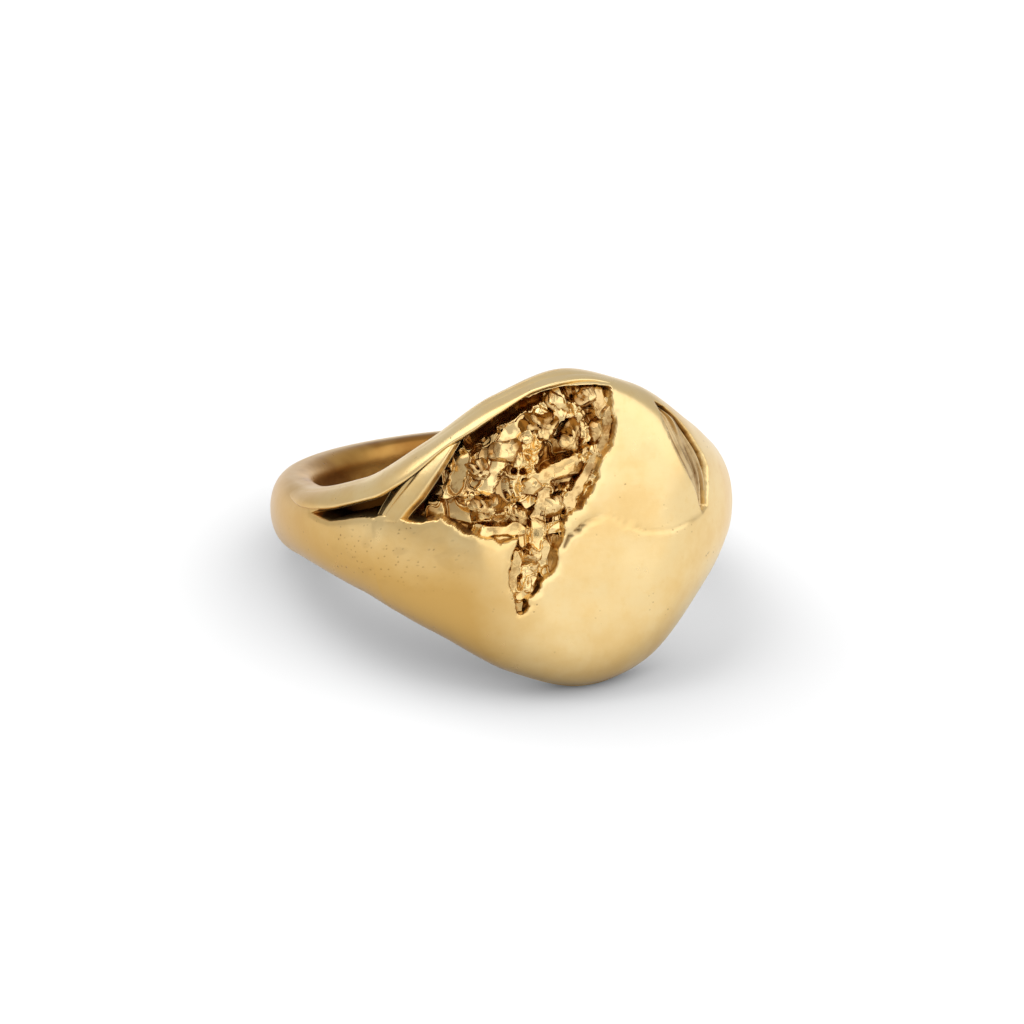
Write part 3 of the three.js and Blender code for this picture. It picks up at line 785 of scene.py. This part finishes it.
NUGGETS = (
    (3.5, 6.95, 0.55, 0.45, 20), (-4.2, 6.85, 0.55, 0.45, -30), (-9, 5.8, 0.85, 0.7, -25),
    (-1.7, 5, 0.65, 0.5, 60), (5.2, 5.1, 0.5, 0.45, 70), (-17.7, 4.6, 0.7, 0.6, 15),
    (-24.5, 3.8, 0.55, 0.5, 35), (-3, 3.4, 0.85, 0.5, 20), (-12.5, 2.8, 0.6, 0.5, -15),
    (-23.5, 1.9, 0.85, 0.5, 10), (-16.3, 1.3, 0.5, 0.45, 0), (-7, 1.6, 0.6, 0.45, 40),
    (-12.6, -0.9, 0.6, 0.5, 50), (-15.3, -2.2, 0.6, 0.45, 65),
)


# How crumbly each nugget is: 1 is all granules.
CRUMBLE = (0.5, 0.35, 1.0, 0.7, 0.1, 0.1, 1.0, 0.15, 0.1, 1.0, 0.6, 0.2, 0.4, 0.45)
NUGGET_FACETS = 9
NUGGET_SEAT = 0.62  # how far under the skin a nugget's middle sits
NUGGET_SWOLLEN = 1.25  # makes up for what the facets cut off its half sizes
NUGGET_RISE = 0.40


def nugget_mesh(number, crumble, degrees, height, half_length, half_width, turn):
    """A pebble: a unit ball on a latitude and longitude grid, pushed out of round by swells and
    by granules where it is crumbly, stretched to its half sizes and turned on the skin."""
    around, up_down = 120, 70
    lon = np.arange(around)[None, :] * 2 * math.pi / around
    lat = (np.arange(up_down)[:, None] + 0.5) / up_down * math.pi - math.pi / 2
    ball = np.stack([np.cos(lat) * np.cos(lon), np.cos(lat) * np.sin(lon), np.sin(lat) + 0 * lon], -1)
    a = ball[..., 0] * half_length + 3.0 * number
    b = ball[..., 1] * half_width + 0.4 * ball[..., 2]
    radius = 1.0 + 0.34 * swell(a, b, 0.55, 200 + number) + 0.10 * swell(a, b, 0.22, 230 + number)
    for k in range(NUGGET_FACETS):
        tilt = lattice(number, k, 7) * 2 * math.pi
        rise = 0.15 + 0.8 * lattice(number, k, 8)
        flat = math.sqrt(1 - rise * rise)
        facing = ball @ np.array([flat * math.cos(tilt), flat * math.sin(tilt), rise])
        radius = np.minimum(radius, (0.60 + 0.28 * lattice(number, k, 9)) / np.maximum(facing, 0.05))
    near, _, own, _, _ = cells(a, b, 0.26, 260 + number)
    radius = radius + crumble * (0.30 * own * np.sqrt(np.clip(1 - (near / 0.18) ** 2, 0, 1)) - 0.10)
    near, _, own, _, _ = cells(a, b, 0.40, 290 + number)
    radius = radius - 0.5 * (0.2 + 0.8 * crumble) * (own > 0.55) * np.exp(-((near / 0.08) ** 2))
    ball = ball * radius[..., None] * (half_length * NUGGET_SWOLLEN, half_width * NUGGET_SWOLLEN, NUGGET_RISE)
    c, s = math.cos(math.radians(turn)), math.sin(math.radians(turn))
    along, across = ball[..., 0] * c - ball[..., 1] * s, ball[..., 0] * s + ball[..., 1] * c
    seat = float(outer_radius(degrees, height)) - NUGGET_SEAT
    angle = math.radians(degrees)
    out = np.array([math.sin(angle), -math.cos(angle), 0])
    side = np.array([math.cos(angle), math.sin(angle), 0])
    points = out * (seat + ball[..., 2:]) + side * along[..., None] + np.array([0, 0, 1]) * across[..., None]
    points[..., 2] += height
    poles = [points[0].mean(0), points[-1].mean(0)]
    faces = grid_faces(up_down, around, True)[:, ::-1].tolist()
    low_pole, high_pole = up_down * around, up_down * around + 1
    base = (up_down - 1) * around
    faces += [[low_pole, (j + 1) % around, j] for j in range(around)]
    faces += [[high_pole, base + j, base + (j + 1) % around] for j in range(around)]
    # Painted shade: each nugget is light only on its top and darker towards its base in the ore and its lower
    # pole, and darker in the dents between granules; crumbly ones also get random dark patches.
    tone = np.clip(0.8 * (1 - ball[..., 2] / 0.3), 0, 0.85) + 0.5 * crumble * smooth(-radius, -0.85, -0.6)
    tone = tone + 0.35 * crumble * smooth(swell(a, b, 0.3, 320 + number), -0.2, 0.4)
    tone = np.concatenate([np.clip(tone, 0, 1).ravel(), [0.5, 0]])
    points = to_row(np.concatenate([points.reshape(-1, 3), poles]))
    return make_piece(f"nugget_lump_{number}", points, faces, None, tone)


for number, (nugget, crumble) in enumerate(zip(NUGGETS, CRUMBLE), 1):
    finish_piece(nugget_mesh(number, crumble, *nugget), ORE, "ore_gold", f"nugget_{number}")


# ---- Camera, floor and light -----------------------------------------------------------
# A long lens looks down at the ring from its front left; the floor is plain and pale, and
# soft boxes stand round it.

# The view's angles, SCALE and AIM were found by a separate fitting program and rounded.
VIEW_AZIMUTH = math.radians(-22.6)
VIEW_HEIGHT = math.radians(11.05)
VIEW_ROLL = math.radians(3.07)
VIEW_DISTANCE = 400.0
SENSOR_WIDTH = 36.0
PICTURE_WIDTH = 1024
FLOOR_REACH = 3.0
AIM_HEIGHT = 0.006  # where the soft boxes point, in metres above the floor
SCALE = 19.13  # how large a millimetre at the bore's middle is in the picture
AIM = (1.15, -0.84)  # how far right of and above the bore's middle the lens points


def turn_to_row(v):
    """A ring-frame direction in the row frame."""
    return (to_row(np.array(v, float)) / MM) - BORE_MIDDLE


back = np.array([math.sin(VIEW_AZIMUTH) * math.cos(VIEW_HEIGHT),
                 -math.cos(VIEW_AZIMUTH) * math.cos(VIEW_HEIGHT), math.sin(VIEW_HEIGHT)])
level = np.array([math.cos(VIEW_AZIMUTH), math.sin(VIEW_AZIMUTH), 0.0])
rise = np.cross(back, level)
right = level * math.cos(VIEW_ROLL) - rise * math.sin(VIEW_ROLL)
up = level * math.sin(VIEW_ROLL) + rise * math.cos(VIEW_ROLL)
eye = back * VIEW_DISTANCE + right * AIM[0] + up * AIM[1]
camera_data = bpy.data.cameras.new("camera")
camera_data.sensor_width = SENSOR_WIDTH
camera_data.lens = SCALE * VIEW_DISTANCE / PICTURE_WIDTH * SENSOR_WIDTH
camera_data.clip_start, camera_data.clip_end = 0.01, 10.0
camera = bpy.data.objects.new("camera", camera_data)
bpy.context.scene.collection.objects.link(camera)
basis = np.stack([turn_to_row(right), turn_to_row(up), turn_to_row(back)], 1)
matrix = Matrix.Identity(4)
for i in range(3):
    for j in range(3):
        matrix[i][j] = basis[i][j]
    matrix[i][3] = (turn_to_row(eye)[i] + BORE_MIDDLE[i]) * MM
camera.matrix_world = matrix
bpy.context.scene.camera = camera

floor_mesh = bpy.data.meshes.new("floor")
corners = [(x * FLOOR_REACH, y * FLOOR_REACH, 0) for x, y in ((-1, -1), (1, -1), (1, 1), (-1, 1))]
floor_mesh.from_pydata(corners, [], [(0, 1, 2, 3)])
floor = bpy.data.objects.new("floor", floor_mesh)
bpy.context.scene.collection.objects.link(floor)
paper = bpy.data.materials.new("pale_paper")
paper.use_nodes = True
paper_inputs = paper.node_tree.nodes["Principled BSDF"].inputs
paper_inputs["Base Color"].default_value = (0.9, 0.9, 0.9, 1)
paper_inputs["Roughness"].default_value = 0.9
paper_inputs["Specular IOR Level"].default_value = 0.0
floor_mesh.materials.append(paper)


def soft_box(name, place, size, power):
    """A square soft light at a place in metres, aimed at the ring."""
    light = bpy.data.lights.new(name, "AREA")
    light.shape = "RECTANGLE"
    light.size, light.size_y = size
    light.energy = power
    lamp = bpy.data.objects.new(name, light)
    bpy.context.scene.collection.objects.link(lamp)
    lamp.location = place
    aim = Vector((0, 0, AIM_HEIGHT)) - Vector(place)
    lamp.rotation_euler = aim.to_track_quat("-Z", "Y").to_euler()
    return lamp


soft_box("top_box", (-0.25, 0.22, 0.55), (0.6, 0.6), 1.8)
soft_box("front_box", (0.19, -0.42, 0.42), (1.15, 0.95), 3.1)
world = bpy.data.worlds.new("studio")
world.use_nodes = True
world.node_tree.nodes["Background"].inputs["Color"].default_value = (1, 1, 1, 1)
world.node_tree.nodes["Background"].inputs["Strength"].default_value = 0.68
bpy.context.scene.world = world
bpy.context.scene.view_settings.view_transform = "Standard"
bpy.context.scene.cycles.caustics_reflective = False
